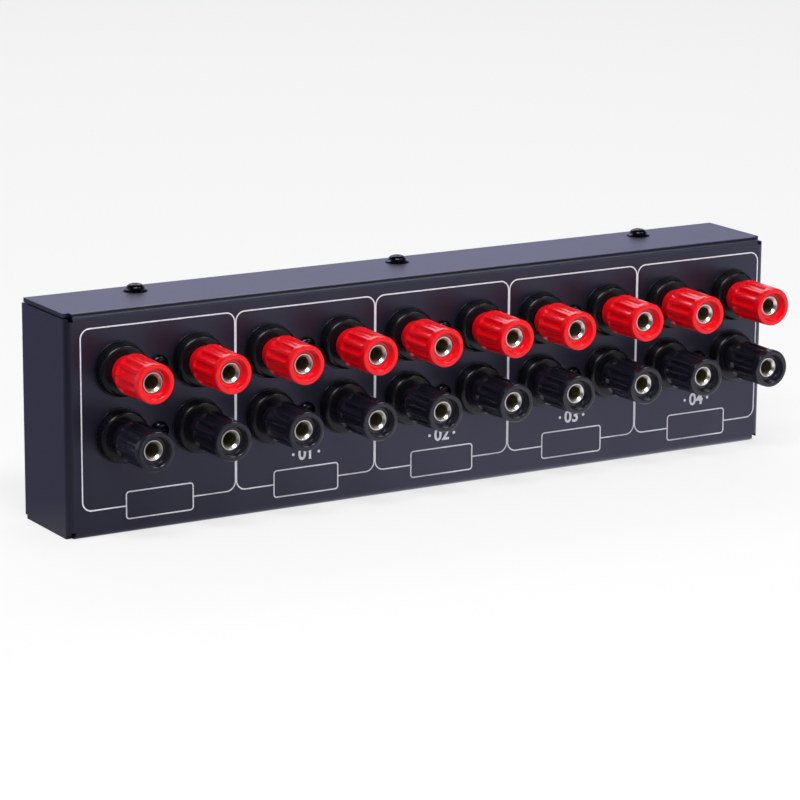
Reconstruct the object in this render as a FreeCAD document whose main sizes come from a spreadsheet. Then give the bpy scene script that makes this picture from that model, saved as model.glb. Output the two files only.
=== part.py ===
import FreeCAD, Part
import math
import os
import Sketcher
from FreeCAD import Vector

# A speaker selector switch: a long bent-steel box with twenty binding posts on one side,
# in an input group and four zone groups, and a push button for each zone on the other side.
# X runs along the box, the posts point along -Y, Z is up.
# The origin is the centre of the underside, halfway between the terminal face and the open back.
# The round pieces that repeat with every post have a few flat sides instead of a round wall,
# except the banana sockets: a shaft's corners and a hole's flats lie on the nominal circle.

SIZES = [
    # housing
    ("housing_length", 237.0, "outside length of the steel tray"),
    ("housing_height", 64.2, "outside height of the steel tray"),
    ("housing_depth", 28.0, "outside depth, terminal face to the open back"),
    ("sheet", 1.2, "thickness of the steel sheet"),
    ("bend_radius", 2.0, "outside radius of the bends round the terminal face"),
    ("seam_gap", 0.2, "gap where a wall's end lies over the next wall"),
    ("end_trim", 0.5, "how far the top and bottom walls stop short of the side faces"),
    ("relief_inset", 1.0, "side face to the corner relief slot"),
    ("relief_width", 1.4, "width of a corner relief slot"),
    ("relief_height", 2.2, "height of a corner relief slot"),
    ("relief_depth", 2.6, "how far a relief slot runs back from the terminal face"),
    # layout of the terminal face
    ("margin_left", 4.3, "left end to the first group"),
    ("input_cell", 48.5, "width of the input group"),
    ("zone_cell", 45.7, "width of each zone group"),
    ("zone_count", 4, "number of zone groups"),
    ("row_low", 28.5, "height of the black row above the underside"),
    ("row_pitch", 19.05, "black row to red row"),
    ("post_gap", 24.0, "left post to right post in a group"),
    # terminal plates
    ("collar_diameter", 15.0, "collar round each post"),
    ("collar_height", 3.9, "collar's front above the terminal face"),
    ("collar_sides", 12, "sides of a collar and of its hole"),
    ("collar_clearance", 0.15, "collar in its hole, radial"),
    ("plate_thickness", 3.0, "moulded plate behind the terminal face"),
    ("plate_rim", 1.0, "plate beyond its collars"),
    ("plate_corner", 2.0, "cut corners of the plate"),
    # studs, inserts and knobs
    ("stud_diameter", 6.0, "threaded front of the stud"),
    ("socket_diameter", 4.0, "banana socket bored in the stud"),
    ("socket_depth", 13.0, "depth of the banana socket"),
    ("stud_sides", 8, "sides of the stud's front, the insert and the knob's neck and inside"),
    ("shank_diameter", 4.0, "rear shank through the plate and the board"),
    ("shank_sides", 6, "sides of the shanks, the screws and their holes"),
    ("wire_hole", 2.0, "cross hole for bare wire"),
    ("wire_hole_height", 5.6, "cross hole above the terminal face"),
    ("wire_hole_sides", 4, "sides of that hole"),
    ("running_clearance", 0.05, "turning and sliding fits, radial"),
    ("insert_wall", 0.5, "wall of the threaded insert"),
    ("neck_diameter", 9.4, "knob's neck against the collar"),
    ("barrel_diameter", 12.0, "knob's barrel at its back"),
    ("rim_diameter", 11.4, "knob's barrel at its front rim"),
    ("seat_gap", 0.3, "knob's neck to the collar when screwed home"),
    ("barrel_start", 8.2, "back of the barrel above the terminal face"),
    ("knob_reach", 22.0, "knob's front above the terminal face"),
    ("recess_diameter", 8.8, "mouth of the knob's conical recess"),
    ("recess_depth", 2.0, "depth of that recess"),
    ("lip_clearance", 0.15, "stud in the knob's front lip, radial"),
    ("lip_thickness", 0.8, "front lip that covers the insert"),
    ("flute_count", 12, "broad shallow flutes of the knob, as flats"),
    # board, nuts and switches
    ("board_thickness", 1.6, "circuit board on the studs"),
    ("board_rim", 8.0, "board beyond the outer studs"),
    ("nut_across_flats", 7.0, "nuts on the studs"),
    ("nut_height", 3.2, "height of those nuts"),
    ("shank_end", 1.0, "shank beyond its nut"),
    ("switch_width", 12.0, "switch body along X"),
    ("switch_height", 14.0, "switch body along Z"),
    ("switch_setback", 5.0, "control panel to the switch body"),
    ("plunger_side", 4.0, "square plunger"),
    ("plunger_clearance", 0.2, "plunger in its channel, each side"),
    ("plunger_insertion", 7.0, "plunger inside the switch body at rest"),
    ("button_travel", 3.5, "how far a button presses in"),
    ("channel_spare", 1.5, "channel beyond the pressed plunger"),
    # control panel and buttons
    ("panel_fit", 0.1, "control panel inside the tray, each side"),
    ("flange_depth", 9.0, "depth of the control panel's flanges"),
    ("panel_bend", 1.8, "outside radius of the control panel's bends"),
    ("flange_notch", 4.0, "open corner between the flanges"),
    ("cap_width", 9.6, "button cap along X"),
    ("cap_height", 6.2, "button cap along Z"),
    ("cap_proud", 5.0, "button cap beyond the control panel"),
    ("cap_edge", 0.8, "chamfer of the cap's front edges"),
    ("cap_clearance", 0.4, "cap in its hole, each side"),
    ("stop_gap", 0.3, "pressed cap to the switch body"),
    # screws
    ("cover_screw_spacing", 86.5, "cover screws along X"),
    ("cover_screw_inset", 6.6, "open back to the cover screws"),
    ("cover_head_diameter", 7.0, "flange of a cover screw's head"),
    ("cover_head_flange", 0.6, "thickness of that flange"),
    ("cover_dome_diameter", 5.4, "dome of a cover screw's head"),
    ("cover_head_height", 2.0, "whole head of a cover screw"),
    ("cover_head_edge", 0.9, "chamfer of the dome"),
    ("screw_diameter", 3.0, "shank of the cover and plate screws"),
    ("cover_screw_length", 6.0, "cover screws under the head"),
    ("plate_head_diameter", 5.4, "head of a plate screw"),
    ("plate_head_height", 1.7, "height of that head"),
    ("plate_screw_spare", 0.4, "plate beyond the end of its screws"),
]

doc = FreeCAD.newDocument("speaker_selector_switch")
sheet = doc.addObject("Spreadsheet::Sheet", "Sizes")
for row, (alias, value, note) in enumerate(SIZES, start=1):
    sheet.set("A%d" % row, alias)
    sheet.set("B%d" % row, str(value))
    sheet.setAlias("B%d" % row, alias)
    sheet.set("C%d" % row, note)
doc.recompute()


class Size:
    """A length worked out from the sheet: its value now and the expression that keeps it true."""

    def __init__(self, value, text):
        self.value = value
        self.text = text

    def join(self, other, sign, value):
        return Size(value, "(%s %s %s)" % (self.text, sign, other.text))

    def __add__(self, other):
        other = as_size(other)
        return self.join(other, "+", self.value + other.value)

    def __sub__(self, other):
        other = as_size(other)
        return self.join(other, "-", self.value - other.value)

    def __mul__(self, other):
        other = as_size(other)
        return self.join(other, "*", self.value * other.value)

    def __truediv__(self, other):
        other = as_size(other)
        return self.join(other, "/", self.value / other.value)

    def __neg__(self):
        return as_size(0) - self


def as_size(number):
    return number if isinstance(number, Size) else Size(float(number), repr(round(number, 9)))


def size(alias):
    return Size(float(sheet.get(alias)), "Sizes." + alias)


class Sheet:
    """Every alias of the sheet as an attribute that holds its Size."""


S = Sheet()
for alias, value, note in SIZES:
    setattr(S, alias, size(alias))

ZONES = int(S.zone_count.value)
GROUPS = ["input"] + ["zone_%d" % (zone + 1) for zone in range(ZONES)]
COLOURS = ["red", "black"]
CHANNELS = ["right", "left"]
COLLAR_SIDES = int(S.collar_sides.value)
KNOB_SIDES = int(S.flute_count.value)
STUD_SIDES = int(S.stud_sides.value)
SHANK_SIDES = int(S.shank_sides.value)
HEXAGON = 6

# how far a cutting outline runs past the edge that it cuts
OVERSHOOT = 5.0

# places and levels: "front" is measured from the terminal face, outwards along -Y
terminal_face = -(S.housing_depth / 2)
first_cell = -(S.housing_length / 2) + S.margin_left
plate_back = -(S.sheet + S.plate_thickness)
board_back = plate_back - S.board_thickness
nut_back = board_back - S.nut_height
stud_reach = S.knob_reach - S.recess_depth
neck_start = S.collar_height + S.seat_gap
pocket_end = stud_reach - S.lip_thickness
insert_end = pocket_end - S.running_clearance * 2
lip_radius = S.stud_diameter / 2 + S.lip_clearance
insert_bore = S.stud_diameter / 2 + S.running_clearance
insert_radius = (insert_bore + S.insert_wall) / math.cos(math.pi / STUD_SIDES)
pocket_radius = insert_radius + S.running_clearance
row_middle = S.row_low + S.row_pitch / 2
switch_front = -(S.housing_depth - S.sheet - S.switch_setback)
cap_back = switch_front - S.button_travel - S.stop_gap
screw_hole = S.screw_diameter / 2 + S.running_clearance
shank_hole = S.shank_diameter / 2 + S.running_clearance


def group_centre(index):
    """X of a group's middle: 0 is the input group, 1 and up are the zones."""
    if index == 0:
        return first_cell + S.input_cell / 2
    return first_cell + S.input_cell + S.zone_cell * (index - 0.5)


def post_place(group, colour, channel):
    side = -0.5 if channel == "right" else 0.5
    height = S.row_low + S.row_pitch if colour == "red" else S.row_low
    return group_centre(GROUPS.index(group)) + S.post_gap * side, height


POSTS = [(group, colour, channel) for group in GROUPS for colour in COLOURS for channel in CHANNELS]


# sketching and feature helpers

def new_body(label):
    body = doc.addObject("PartDesign::Body", label)
    body.Label = label
    return body


def place(body, along, height):
    """Move a body from the terminal face's own origin to its place on the box."""
    body.setExpression("Placement.Base.x", as_size(along).text)
    body.setExpression("Placement.Base.y", terminal_face.text)
    body.setExpression("Placement.Base.z", as_size(height).text)


def origin_feature(body, role):
    return [feature for feature in body.Origin.OriginFeatures if feature.Role == role][0]


def new_sketch(body, name, plane, level=None):
    """A sketch on one of the body's own planes; on XZ_Plane the level counts along -Y."""
    sketch = body.newObject("Sketcher::SketchObject", name)
    sketch.AttachmentSupport = [(origin_feature(body, plane), "")]
    sketch.MapMode = "FlatFace"
    if level is not None:
        sketch.setExpression("AttachmentOffset.Base.z", level.text)
    return sketch


def add_constraints(sketch, constraints):
    """Add pairs of (constraint, size or None) in one step, and bind the sizes to the sheet."""
    first = sketch.ConstraintCount
    sketch.addConstraint([constraint for constraint, length in constraints])
    for number, (constraint, length) in enumerate(constraints, start=first):
        if length is not None:
            sketch.setExpression("Constraints[%d]" % number, length.text)


def point_at(geometry, point, across, up):
    """Constraints that hold a point of a sketch at a place measured from the sketch's origin."""
    return [(Sketcher.Constraint(kind, -1, 1, geometry, point, distance.value), distance)
            for kind, distance in (("DistanceX", across), ("DistanceY", up))]


def add_polygon(sketch, corners):
    corners = [(as_size(across), as_size(up)) for across, up in corners]
    start = sketch.GeometryCount
    spots = [Vector(across.value, up.value, 0) for across, up in corners]
    sketch.addGeometry([Part.LineSegment(*ends) for ends in zip(spots, spots[1:] + spots[:1])], False)
    constraints = []
    for index, (across, up) in enumerate(corners):
        line = start + index
        before = start + (index - 1) % len(corners)
        constraints.append((Sketcher.Constraint("Coincident", before, 2, line, 1), None))
        constraints += point_at(line, 1, across, up)
    add_constraints(sketch, constraints)


def add_rectangle(sketch, left, bottom, right, top):
    add_polygon(sketch, [(left, bottom), (right, bottom), (right, top), (left, top)])


def add_circle(sketch, across, up, radius):
    across, up, radius = as_size(across), as_size(up), as_size(radius)
    centre = Vector(across.value, up.value, 0)
    number = sketch.addGeometry(Part.Circle(centre, Vector(0, 0, 1), radius.value), False)
    radius_held = (Sketcher.Constraint("Radius", number, radius.value), radius)
    add_constraints(sketch, point_at(number, 3, across, up) + [radius_held])


def add_sided(sketch, across, up, radius, sides, hole=False):
    """A few-sided round: a shaft's corners, or a hole's flats, lie on its circle."""
    reach = as_size(radius)
    if hole:
        reach = reach / math.cos(math.pi / sides)
    corners = []
    for index in range(sides):
        turn = math.pi * (2 * index + 1) / sides
        corners.append((as_size(across) + reach * math.cos(turn), as_size(up) + reach * math.sin(turn)))
    add_polygon(sketch, corners)


def sided_sketch(body, name, level, radius, sides, hole=False):
    """A sketch at a level that holds one few-sided round about the body's own axis."""
    sketch = new_sketch(body, name, "XZ_Plane", as_size(level))
    add_sided(sketch, 0, 0, radius, sides, hole)
    return sketch


def pad(body, name, sketch, length):
    feature = body.newObject("PartDesign::Pad", name)
    feature.Profile = sketch
    feature.setExpression("Length", length.text)
    doc.recompute()
    return feature


def pocket(body, name, sketch, depth=None, reverse=False, both=False):
    """Cut a sketch away: to a depth, or right through where no depth is given."""
    before = body.Tip.Shape.Volume
    feature = body.newObject("PartDesign::Pocket", name)
    feature.Profile = sketch
    feature.Reversed = reverse
    if depth is None:
        feature.Type = "ThroughAll"
        feature.Midplane = both
    else:
        feature.setExpression("Length", depth.text)
    doc.recompute()
    if feature.Shape.Volume > before - 1e-6:
        raise RuntimeError("%s of %s cuts nothing" % (name, body.Label))
    return feature


def dress(body, kind, name, edge_test, amount):
    """Fillet or chamfer the edges of the body's tip that pass a test."""
    base = body.Tip
    edges = ["Edge%d" % (index + 1) for index, edge in enumerate(base.Shape.Edges) if edge_test(edge)]
    feature = body.newObject("PartDesign::" + kind, name)
    feature.Base = (base, edges)
    feature.setExpression("Radius" if kind == "Fillet" else "Size", amount.text)
    doc.recompute()
    return feature


def slope(body, name, level, reach, along, across, flip=False):
    """Slope the edges at a level within a reach of the axis: so far along it, so far across."""

    def rim(edge):
        points = [math.hypot(vertex.Point.x, vertex.Point.z) for vertex in edge.Vertexes]
        return flat_at("Y", -level)(edge) and max(points) < reach.value

    feature = dress(body, "Chamfer", name, rim, along)
    feature.ChamferType = "Two distances"
    feature.FlipDirection = flip
    feature.setExpression("Size2", across.text)
    doc.recompute()
    return feature


def clone(label, form):
    """A body of its own with the form of a master body."""
    body = new_body(label)
    body.BaseFeature = form
    doc.recompute()
    return body


def flat_at(axis, level):
    """A test for edges that lie wholly at one level of an axis."""

    def passes(edge):
        ends = [getattr(edge.BoundBox, axis + "Min"), getattr(edge.BoundBox, axis + "Max")]
        return max(abs(end - level.value) for end in ends) < 1e-4

    return passes


def group_of(label, body, places):
    """Separate copies of one small piece, such as a set of screws, as one sub-part."""
    doc.recompute()
    copies = []
    for along, height in places:
        copy = body.Shape.copy()
        copy.translate(Vector(as_size(along).value, terminal_face.value, as_size(height).value))
        copies.append(copy)
    feature = doc.addObject("Part::Feature", label)
    feature.Label = label
    feature.Shape = Part.makeCompound(copies)
    return feature


def corner_outline(side, top, outline):
    """Turn an outline of (in from the end face, in from the top face) to one corner of the tray."""
    corners = []
    for inward, down in outline:
        across = (S.housing_length / 2 - inward) * side
        corners.append((across, S.housing_height - down if top else as_size(down)))
    return corners


def make_housing():
    """The bent tray: terminal face, top, underside and both ends, open at the back."""
    body = new_body("housing")
    half = S.housing_length / 2
    sketch = new_sketch(body, "blank_outline", "XZ_Plane", -S.housing_depth)
    add_rectangle(sketch, -half, 0, half, S.housing_height)
    pad(body, "blank", sketch, S.housing_depth)
    dress(body, "Fillet", "outer_bends", flat_at("Y", as_size(0)), S.bend_radius)
    sketch = new_sketch(body, "inside_outline", "XZ_Plane", -S.housing_depth)
    add_rectangle(sketch, -half + S.sheet, S.sheet, half - S.sheet, S.housing_height - S.sheet)
    pocket(body, "inside", sketch, S.housing_depth - S.sheet, reverse=True)
    dress(body, "Fillet", "inner_bends", flat_at("Y", S.sheet), S.bend_radius - S.sheet)
    seam = new_sketch(body, "seam_outline", "XZ_Plane")
    relief = new_sketch(body, "relief_outline", "XZ_Plane")
    for side in (-1, 1):
        for top in (False, True):
            seam_cut = [(S.sheet, S.sheet), (S.end_trim, S.sheet), (S.end_trim, -OVERSHOOT),
                        (-OVERSHOOT, -OVERSHOOT), (-OVERSHOOT, S.sheet + S.seam_gap),
                        (S.sheet, S.sheet + S.seam_gap)]
            add_polygon(seam, corner_outline(side, top, seam_cut))
            inner = S.relief_inset + S.relief_width
            relief_cut = [(inner, -OVERSHOOT), (-OVERSHOOT, -OVERSHOOT),
                          (-OVERSHOOT, S.sheet + S.seam_gap), (S.relief_inset, S.sheet + S.seam_gap),
                          (S.relief_inset, S.relief_height), (inner, S.relief_height)]
            add_polygon(relief, corner_outline(side, top, relief_cut))
    pocket(body, "seams", seam)
    pocket(body, "corner_reliefs", relief, S.relief_depth)
    collar_radius = S.collar_diameter / 2 + S.collar_clearance
    cut_in_groups(body, "collar_holes", as_size(0), S.sheet, post_spots(), collar_radius, COLLAR_SIDES)
    screw_spots = [(as_size(0), S.row_low), (as_size(0), S.row_low + S.row_pitch)]
    cut_in_groups(body, "screw_holes", as_size(0), S.sheet, screw_spots, screw_hole, SHANK_SIDES)
    cut_cover_holes(body, "top_screw_holes", S.housing_height, S.sheet)
    place(body, 0, 0)
    return body


def post_spots():
    """The four posts of a group, measured from the group's middle and from the underside."""
    heights = (S.row_low, S.row_low + S.row_pitch)
    return [(S.post_gap * side, height) for height in heights for side in (-0.5, 0.5)]


def cut_in_groups(body, name, level, depth, spots, radius, sides):
    """Cut the same few-sided holes in the input group and, by a pattern, in every zone."""
    for group, centre in (("input", group_centre(0)), ("zone", group_centre(1))):
        sketch = new_sketch(body, "%s_%s_outline" % (group, name), "XZ_Plane", level)
        for across, height in spots:
            add_sided(sketch, centre + across, height, radius, sides, hole=True)
        cut = pocket(body, "%s_%s" % (group, name), sketch, depth)
    pattern = body.newObject("PartDesign::LinearPattern", name + "_pattern")
    pattern.Originals = [cut]
    pattern.Direction = (origin_feature(body, "X_Axis"), [""])
    pattern.setExpression("Length", (S.zone_cell * (ZONES - 1)).text)
    pattern.Occurrences = ZONES
    body.Tip = pattern
    doc.recompute()


def cut_cover_holes(body, name, level, depth):
    """Three clear holes for the cover screws, down from a level."""
    sketch = new_sketch(body, name + "_outline", "XY_Plane", level)
    for step in (-1, 0, 1):
        back = S.housing_depth - S.cover_screw_inset
        add_sided(sketch, S.cover_screw_spacing * step, back, screw_hole, SHANK_SIDES, hole=True)
    pocket(body, name, sketch, depth)


def make_control_panel():
    """The plate that closes the back, with four inward flanges and a hole for each button."""
    body = new_body("control_panel")
    border = S.sheet + S.panel_fit
    half = S.housing_length / 2 - border
    low, high = border, S.housing_height - border
    sketch = new_sketch(body, "blank_outline", "XZ_Plane", -S.housing_depth)
    add_rectangle(sketch, -half, low, half, high)
    pad(body, "blank", sketch, S.flange_depth)
    dress(body, "Fillet", "outer_bends", flat_at("Y", S.housing_depth), S.panel_bend)
    sketch = new_sketch(body, "inside_outline", "XZ_Plane", S.flange_depth - S.housing_depth)
    add_rectangle(sketch, -half + S.sheet, low + S.sheet, half - S.sheet, high - S.sheet)
    pocket(body, "inside", sketch, S.flange_depth - S.sheet)
    inner_level = S.housing_depth - S.sheet
    dress(body, "Fillet", "inner_bends", flat_at("Y", inner_level), S.panel_bend - S.sheet)
    sketch = new_sketch(body, "notch_outline", "XZ_Plane", S.flange_depth - S.housing_depth)
    for side in (-1, 1):
        for edge, inward in ((low, S.flange_notch), (high, -S.flange_notch)):
            outside = (half + OVERSHOOT) * side
            inside = (half - S.flange_notch) * side
            add_rectangle(sketch, inside, edge + inward, outside, edge - inward)
    pocket(body, "corner_notches", sketch, S.flange_depth - S.panel_bend)
    sketch = new_sketch(body, "button_hole_outline", "XZ_Plane", -S.housing_depth)
    across = S.cap_width / 2 + S.cap_clearance
    up = S.cap_height / 2 + S.cap_clearance
    for zone in range(ZONES):
        centre = group_centre(zone + 1)
        add_rectangle(sketch, centre - across, row_middle - up, centre + across, row_middle + up)
    pocket(body, "button_holes", sketch, S.sheet, reverse=True)
    cut_cover_holes(body, "flange_holes", high, S.sheet)
    place(body, 0, 0)
    return body


def make_plate_form():
    """One moulded plate with four collars that stand through the terminal face."""
    body = new_body("one_terminal_plate")
    across = (S.post_gap + S.collar_diameter) / 2 + S.plate_rim
    up = (S.row_pitch + S.collar_diameter) / 2 + S.plate_rim
    sketch = new_sketch(body, "plate_outline", "XZ_Plane", plate_back)
    add_rectangle(sketch, -across, -up, across, up)
    pad(body, "plate", sketch, S.plate_thickness)
    dress(body, "Chamfer", "plate_corners", upright_edge, S.plate_corner)
    collars = new_sketch(body, "collar_outline", "XZ_Plane", -S.sheet)
    shanks = new_sketch(body, "shank_hole_outline", "XZ_Plane", S.collar_height)
    screws = new_sketch(body, "screw_hole_outline", "XZ_Plane", -S.sheet)
    for row in (-0.5, 0.5):
        for side in (-0.5, 0.5):
            middle = S.post_gap * side, S.row_pitch * row
            add_sided(collars, *middle, S.collar_diameter / 2, COLLAR_SIDES)
            add_sided(shanks, *middle, shank_hole, SHANK_SIDES, hole=True)
        add_sided(screws, 0, S.row_pitch * row, screw_hole, SHANK_SIDES, hole=True)
    pad(body, "collars", collars, S.collar_height + S.sheet)
    pocket(body, "shank_holes", shanks)
    pocket(body, "screw_holes", screws)
    return body


def make_terminal_plates():
    form = make_plate_form()
    plates = [clone("terminal_plate_" + group, form) for group in GROUPS]
    for index, plate in enumerate(plates):
        place(plate, group_centre(index), row_middle)
    return plates


def upright_edge(edge):
    """The short edges at the plate's corners, which run along Y."""
    box = edge.BoundBox
    return box.XLength < 1e-4 and box.ZLength < 1e-4


def make_stud():
    """A stud: banana socket in front, a shoulder on the collar, a shank through plate and board."""
    body = new_body("one_stud")
    shank = sided_sketch(body, "shank_outline", nut_back - S.shank_end, S.shank_diameter / 2, SHANK_SIDES)
    pad(body, "shank", shank, S.collar_height - nut_back + S.shank_end)
    front = sided_sketch(body, "front_outline", S.collar_height, S.stud_diameter / 2, STUD_SIDES)
    pad(body, "front", front, stud_reach - S.collar_height)
    socket = new_sketch(body, "socket_outline", "XZ_Plane", stud_reach)
    add_circle(socket, 0, 0, S.socket_diameter / 2)
    pocket(body, "socket", socket, S.socket_depth)
    wire = new_sketch(body, "wire_hole_outline", "XY_Plane")
    add_sided(wire, 0, -S.wire_hole_height, S.wire_hole / 2, int(S.wire_hole_sides.value), hole=True)
    pocket(body, "wire_hole", wire, both=True)
    return body


def make_stud_nut():
    """A plain hexagon nut that clamps the board and the plate on its stud."""
    body = new_body("one_stud_nut")
    flats = sided_sketch(body, "nut_outline", nut_back, S.nut_across_flats / 2, HEXAGON, hole=True)
    pad(body, "hexagon", flats, S.nut_height)
    bore = sided_sketch(body, "nut_hole_outline", board_back, shank_hole, SHANK_SIDES, hole=True)
    pocket(body, "nut_hole", bore)
    return body


def make_insert_form():
    """The brass insert inside a knob: it runs along the stud as the knob is turned."""
    body = new_body("one_insert")
    outside = sided_sketch(body, "tube_outline", neck_start, insert_radius, STUD_SIDES)
    pad(body, "tube", outside, insert_end - neck_start)
    bore = sided_sketch(body, "bore_outline", insert_end, insert_bore, STUD_SIDES, hole=True)
    pocket(body, "bore", bore)
    return body


def make_knob_form():
    """A knob: neck, fluted and tapered barrel, and a sloping recess that opens on the socket."""
    body = new_body("one_knob")
    barrel, rim = S.barrel_diameter / 2, S.rim_diameter / 2
    flutes = sided_sketch(body, "barrel_outline", neck_start, barrel, KNOB_SIDES)
    pad(body, "barrel", flutes, S.knob_reach - neck_start)
    slope(body, "taper", S.knob_reach, barrel + OVERSHOOT, S.knob_reach - S.barrel_start, barrel - rim)
    round_neck = sided_sketch(body, "neck_outline", neck_start, S.neck_diameter / 2, STUD_SIDES)
    add_sided(round_neck, 0, 0, barrel + OVERSHOOT, HEXAGON)
    pocket(body, "neck", round_neck, S.barrel_start - neck_start, reverse=True)
    lip = sided_sketch(body, "lip_outline", S.knob_reach, lip_radius, STUD_SIDES, hole=True)
    pocket(body, "lip", lip)
    slope(body, "recess", S.knob_reach, S.recess_diameter / 2, S.recess_depth,
          S.recess_diameter / 2 - lip_radius, flip=True)
    inside = sided_sketch(body, "insert_pocket_outline", neck_start, pocket_radius, STUD_SIDES, hole=True)
    pocket(body, "insert_pocket", inside, pocket_end - neck_start, reverse=True)
    return body


def make_knobs():
    """Every post's knob, and the insert in it."""
    insert_form, knob_form = make_insert_form(), make_knob_form()
    pieces = []
    for post in POSTS:
        for kind, form in (("insert", insert_form), ("knob", knob_form)):
            piece = clone("%s_%s_%s_%s" % ((kind,) + post), form)
            place(piece, *post_place(*post))
            pieces.append(piece)
    return pieces


def make_circuit_board():
    """The board that the studs' nuts clamp against the plates; the switches stand on it."""
    body = new_body("circuit_board")
    left = group_centre(0) - S.post_gap / 2 - S.board_rim
    right = group_centre(ZONES) + S.post_gap / 2 + S.board_rim
    low = S.row_low - S.board_rim
    high = S.row_low + S.row_pitch + S.board_rim
    sketch = new_sketch(body, "board_outline", "XZ_Plane", board_back)
    add_rectangle(sketch, left, low, right, high)
    pad(body, "board", sketch, S.board_thickness)
    cut_in_groups(body, "stud_holes", plate_back, S.board_thickness, post_spots(), shank_hole, SHANK_SIDES)
    place(body, 0, 0)
    return body


def make_switch_body():
    """The case of one push switch, with the square channel that its plunger slides in."""
    body = new_body("one_switch_body")
    sketch = new_sketch(body, "case_outline", "XZ_Plane", switch_front)
    across, up = S.switch_width / 2, S.switch_height / 2
    add_rectangle(sketch, -across, -up, across, up)
    pad(body, "case", sketch, board_back - switch_front)
    sketch = new_sketch(body, "channel_outline", "XZ_Plane", switch_front)
    half = S.plunger_side / 2 + S.plunger_clearance
    add_rectangle(sketch, -half, -half, half, half)
    depth = S.plunger_insertion + S.button_travel + S.channel_spare
    pocket(body, "channel", sketch, depth, reverse=True)
    return body


def make_button_form():
    """A button: a cap with bevelled edges, moulded in one with its square plunger."""
    body = new_body("one_button")
    cap_front = -(S.housing_depth + S.cap_proud)
    sketch = new_sketch(body, "cap_outline", "XZ_Plane", cap_front)
    across, up = S.cap_width / 2, S.cap_height / 2
    add_rectangle(sketch, -across, -up, across, up)
    pad(body, "cap", sketch, cap_back - cap_front)
    dress(body, "Chamfer", "cap_edges", flat_at("Y", -cap_front), S.cap_edge)
    sketch = new_sketch(body, "plunger_outline", "XZ_Plane", cap_back)
    half = S.plunger_side / 2
    add_rectangle(sketch, -half, -half, half, half)
    pad(body, "plunger", sketch, switch_front + S.plunger_insertion - cap_back)
    return body


def make_buttons():
    form = make_button_form()
    buttons = [clone("button_zone_%d" % (zone + 1), form) for zone in range(ZONES)]
    for zone, button in enumerate(buttons):
        place(button, group_centre(zone + 1), row_middle)
    return buttons


def make_plate_screws():
    """The screws between the posts, which hold the plates to the terminal face."""
    body = new_body("one_plate_screw")
    end = plate_back + S.plate_screw_spare
    shank = sided_sketch(body, "shank_outline", end, S.screw_diameter / 2, SHANK_SIDES)
    pad(body, "shank", shank, -end)
    head = sided_sketch(body, "head_outline", 0, S.plate_head_diameter / 2, SHANK_SIDES)
    pad(body, "head", head, S.plate_head_height)
    places = [(group_centre(index), height) for index in range(len(GROUPS))
              for height in (S.row_low, S.row_low + S.row_pitch)]
    return group_of("plate_screws", body, places)


def make_cover_screws():
    """The flanged screws that hold the control panel under the tray's top wall."""
    body = new_body("one_cover_screw")
    shank = sided_sketch(body, "shank_outline", -S.cover_screw_length, S.screw_diameter / 2, SHANK_SIDES)
    pad(body, "shank", shank, S.cover_screw_length)
    flange = sided_sketch(body, "flange_outline", 0, S.cover_head_diameter / 2, STUD_SIDES)
    pad(body, "flange", flange, S.cover_head_flange)
    dome = sided_sketch(body, "dome_outline", S.cover_head_flange, S.cover_dome_diameter / 2, STUD_SIDES)
    pad(body, "dome", dome, S.cover_head_height - S.cover_head_flange)
    dress(body, "Chamfer", "dome_edge", flat_at("Y", -S.cover_head_height), S.cover_head_edge)
    return stand_in_wall("cover_screws", body, S.housing_height)


def stand_in_wall(label, body, level):
    """Turn a screw that points along -Y upright, and put three of them in a wall of the tray."""
    copies = []
    for step in (-1, 0, 1):
        copy = body.Shape.copy()
        copy.rotate(Vector(0, 0, 0), Vector(1, 0, 0), -90)
        across = S.cover_screw_spacing.value * step
        back = (S.housing_depth / 2 - S.cover_screw_inset).value
        copy.translate(Vector(across, back, level.value))
        copies.append(copy)
    feature = doc.addObject("Part::Feature", label)
    feature.Label = label
    feature.Shape = Part.makeCompound(copies)
    return feature


def make_all():
    parts = [make_housing(), make_control_panel(), make_circuit_board()]
    parts += make_terminal_plates() + make_buttons() + make_knobs()
    post_places = [post_place(*post) for post in POSTS]
    parts.append(group_of("terminal_studs", make_stud(), post_places))
    parts.append(group_of("stud_nuts", make_stud_nut(), post_places))
    zones = [(group_centre(zone + 1), row_middle) for zone in range(ZONES)]
    parts.append(group_of("switch_bodies", make_switch_body(), zones))
    parts += [make_plate_screws(), make_cover_screws()]
    return parts


def check_and_export(parts):
    doc.recompute()
    for item in doc.Objects:
        if "Invalid" in item.State or "Error" in item.State:
            raise RuntimeError("%s failed: %s" % (item.Label, item.State))
    for part in parts:
        if part.Shape.isNull() or not part.Shape.isValid():
            raise RuntimeError("%s has no valid shape" % part.Label)
    os.makedirs("parts", exist_ok=True)
    for part in parts:
        part.Shape.exportStep("parts/%s.step" % part.Label)
    print("%d sub-parts written" % len(parts))


check_and_export(make_all())
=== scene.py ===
"""The looks of a speaker selector switch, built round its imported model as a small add-on.

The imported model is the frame: X runs along the box, the binding posts point along -Y and Z is up.
Pieces of a post are modelled once on its axis, where forward is the distance out of the terminal
face, and are then copied to every post.
"""

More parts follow.
